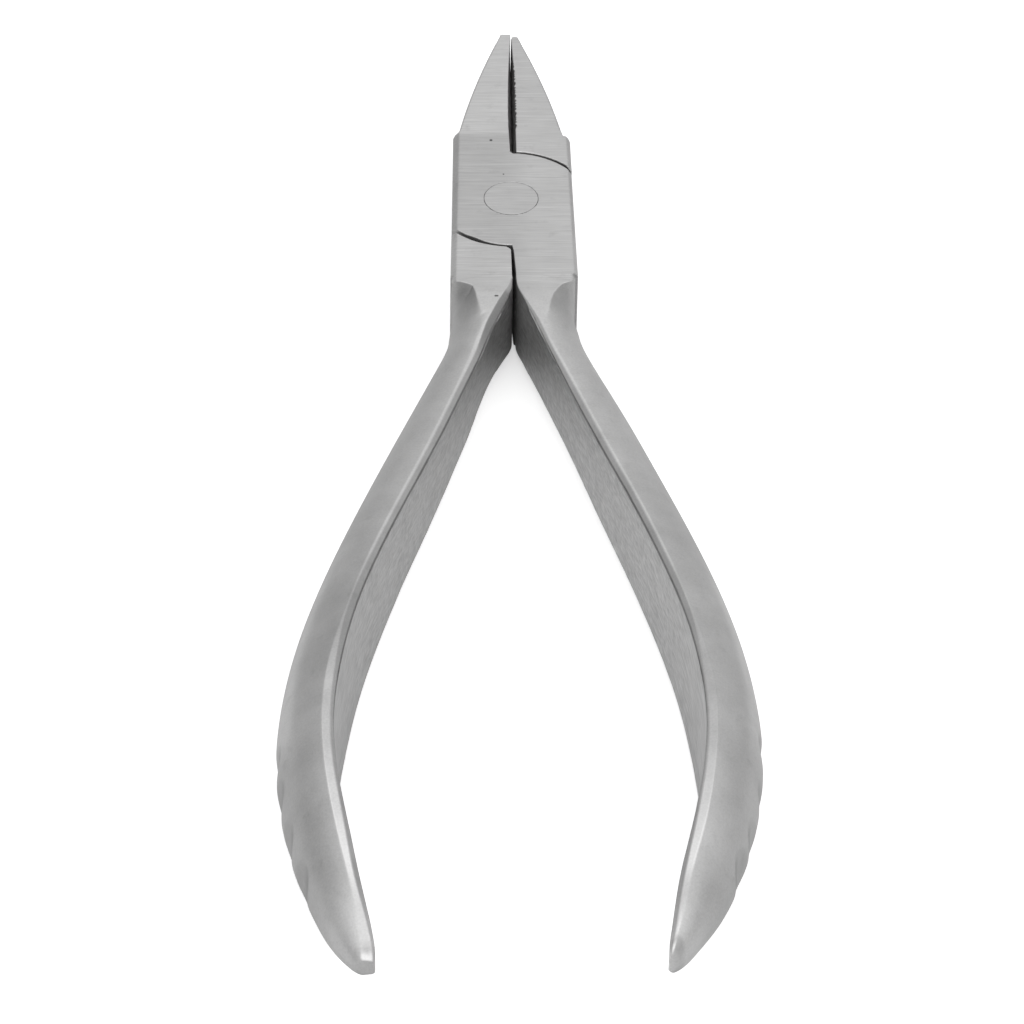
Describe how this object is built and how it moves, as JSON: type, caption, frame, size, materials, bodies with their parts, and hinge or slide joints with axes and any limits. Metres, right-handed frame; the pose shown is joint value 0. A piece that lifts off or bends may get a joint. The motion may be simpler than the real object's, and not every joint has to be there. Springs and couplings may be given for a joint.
{
  "type": "flat-nose bending pliers",
  "caption": "Small all-steel flat-nose bending pliers: lap joint with a flush rivet, tapered jaws that meet at the tips and long bowed handles with finger grooves.",
  "frame": {"origin": "on the rivet's axis, at the joint's flat back face", "axes": "+Z out of the joint's front face along the rivet's axis, +Y towards the jaw tips, +X to the right of someone who looks at the front face with the jaws away from them"},
  "size_m": [0.0436, 0.1343, 0.0153],
  "materials": {
    "satin_steel": "bare stainless steel, belt-brushed across the joint and jaws, satin-tumbled on the handles",
    "rivet_steel": "bare stainless steel, ground flush with the joint face"
  },
  "bodies": {
    "upper": {"upper_half": "satin_steel", "pivot_rivet": "rivet_steel"},
    "lower": {"lower_half": "satin_steel"}
  },
  "joints": [
    {"name": "pivot", "type": "hinge", "parent": "upper", "child": "lower", "pos_m": [0, 0, 0.00425], "axis": [0, 0, -1], "range_deg": [0, 72]}
  ]
}
